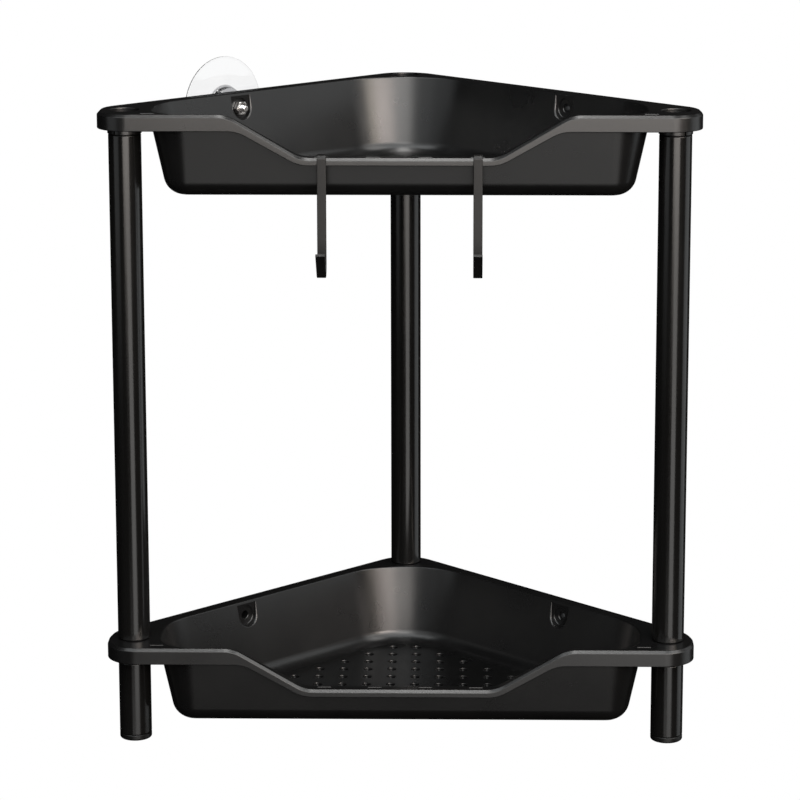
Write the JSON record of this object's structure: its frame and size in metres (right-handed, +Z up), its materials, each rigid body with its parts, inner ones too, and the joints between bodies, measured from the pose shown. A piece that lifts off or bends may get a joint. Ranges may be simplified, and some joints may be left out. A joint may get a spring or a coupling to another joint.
{
  "type": "corner shower caddy",
  "caption": "Free-standing corner shower caddy with stacked perforated basket trays on round poles, lift-out hooks and a suction cup that steadies it against a wall.",
  "frame": {"origin": "on the ground under the middle of the whole object's box", "axes": "+X to the right along the straight front, +Y towards the wall corner, +Z up"},
  "size_m": [0.3294, 0.2124, 0.3775],
  "materials": {
    "tray_plastic": "satin black moulded plastic with a fine grain",
    "cap_plastic": "matt black moulded plastic",
    "pole_steel": "black satin powder coat on thin steel tube",
    "hook_steel": "black satin paint on bent steel strip",
    "clear_vinyl": "clear soft vinyl, glossy",
    "bright_steel": "bright nickel-plated steel"
  },
  "bodies": {
    "caddy_frame": {"upper_tray": "tray_plastic", "lower_tray": "tray_plastic", "upper_pole_left": "pole_steel", "upper_pole_right": "pole_steel", "upper_pole_rear": "pole_steel", "leg_pole_left": "pole_steel", "leg_pole_right": "pole_steel", "leg_pole_rear": "pole_steel", "pole_joiner_left": "cap_plastic", "pole_joiner_right": "cap_plastic", "pole_joiner_rear": "cap_plastic", "top_plug_left": "cap_plastic", "top_plug_right": "cap_plastic", "top_plug_rear": "cap_plastic", "foot_cap_left": "cap_plastic", "foot_cap_right": "cap_plastic", "foot_cap_rear": "cap_plastic"},
    "hook_left": {"hook_left": "hook_steel"},
    "hook_right": {"hook_right": "hook_steel"},
    "suction_cup": {"suction_cup": "clear_vinyl", "suction_stud": "bright_steel"},
    "suction_nut": {"suction_nut": "bright_steel"}
  },
  "joints": [
    {"name": "hook_left_lift", "type": "slide", "parent": "caddy_frame", "child": "hook_left", "axis": [0, 0, 1], "range_m": [0, 0.012]},
    {"name": "hook_right_lift", "type": "slide", "parent": "caddy_frame", "child": "hook_right", "axis": [0, 0, 1], "range_m": [0, 0.012]},
    {"name": "suction_cup_turn", "type": "hinge", "parent": "caddy_frame", "child": "suction_cup", "pos_m": [-0.09815, 0.01699, 0.3491], "axis": [-0.7071, 0.7071, 0], "continuous": true},
    {"name": "suction_nut_turn", "type": "hinge", "parent": "suction_cup", "child": "suction_nut", "pos_m": [-0.09815, 0.01699, 0.3491], "axis": [-0.7071, 0.7071, 0], "continuous": true}
  ]
}
